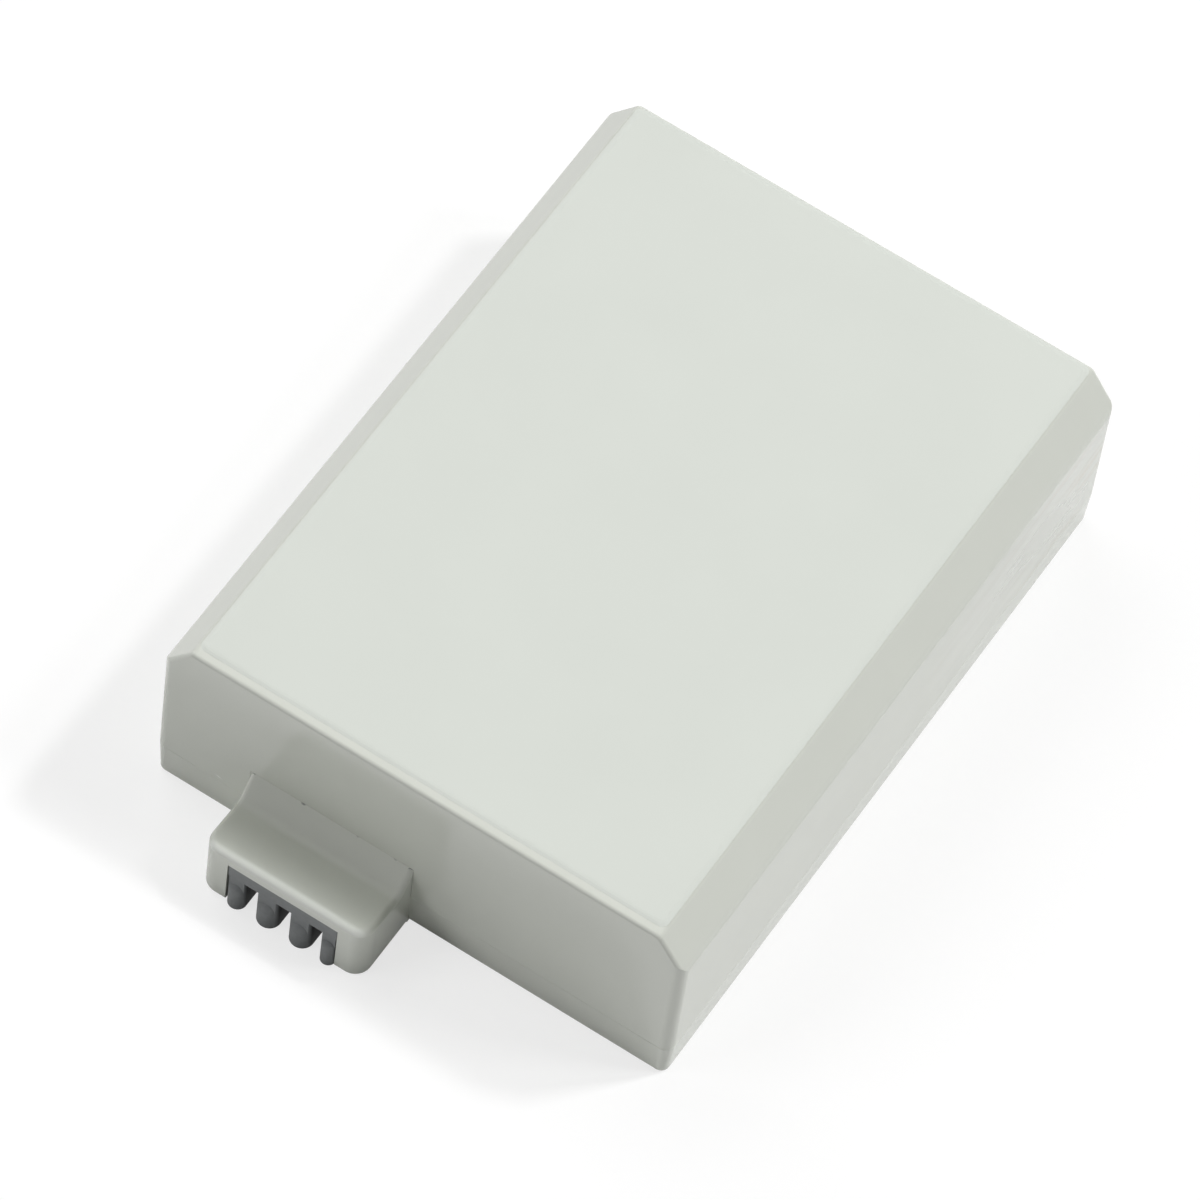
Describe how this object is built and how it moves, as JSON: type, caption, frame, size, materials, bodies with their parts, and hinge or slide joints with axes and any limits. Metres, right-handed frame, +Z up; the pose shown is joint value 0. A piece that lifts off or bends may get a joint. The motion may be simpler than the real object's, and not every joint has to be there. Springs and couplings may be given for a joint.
{
  "type": "camera battery",
  "caption": "Flat rechargeable camera battery in a pale grey moulded case with chamfered shoulders, a blank label, and an off-centre terminal block with a slotted dark comb.",
  "frame": {"origin": "under the middle of the overall outline, on the face that the pack lies on", "axes": "+X across the pack, +Y along it and away from the terminal block, +Z up through the label"},
  "size_m": [0.036, 0.0532, 0.0147],
  "materials": {
    "case_plastic": "smooth semi-gloss moulding",
    "label_film": "satin film, blank",
    "comb_plastic": "fine matt moulding",
    "contact_metal": "gold-plated spring metal",
    "board_laminate": "green solder mask",
    "chip_resin": "moulded resin",
    "fuse_polymer": "dark coated polymer",
    "sensor_ceramic": "fired body with tinned ends",
    "resistor_ceramic": "fired body, dark glaze on top",
    "capacitor_ceramic": "fired body, tan",
    "cell_can": "drawn can",
    "gasket_plastic": "moulded insulator",
    "rivet_nickel": "nickel plate",
    "pole_cladding": "nickel cladding",
    "nickel_strip": "rolled nickel strip",
    "fish_paper": "vulcanised fibre sheet",
    "adhesive_tape": "double-sided tape",
    "foam_pad": "closed-cell foam"
  },
  "bodies": {
    "root": {"upper_case": "case_plastic", "lower_case": "case_plastic", "label": "label_film", "terminal_comb": "comb_plastic", "positive_contact": "contact_metal", "sense_contact": "contact_metal", "negative_contact": "contact_metal", "circuit_board": "board_laminate", "protection_chip": "chip_resin", "switch_transistors": "chip_resin", "resettable_fuse": "fuse_polymer", "temperature_sensor": "sensor_ceramic", "chip_resistors": "resistor_ceramic", "chip_capacitors": "capacitor_ceramic", "lower_cell": "cell_can", "upper_cell": "cell_can", "lower_cell_gasket": "gasket_plastic", "upper_cell_gasket": "gasket_plastic", "lower_cell_rivet": "rivet_nickel", "upper_cell_rivet": "rivet_nickel", "lower_cell_pole_pad": "pole_cladding", "upper_cell_pole_pad": "pole_cladding", "negative_strip": "nickel_strip", "series_link": "nickel_strip", "positive_strip": "nickel_strip", "insulating_paper": "fish_paper", "cell_tape": "adhesive_tape", "bottom_pad": "foam_pad", "top_pad": "foam_pad"}
  },
  "joints": []
}
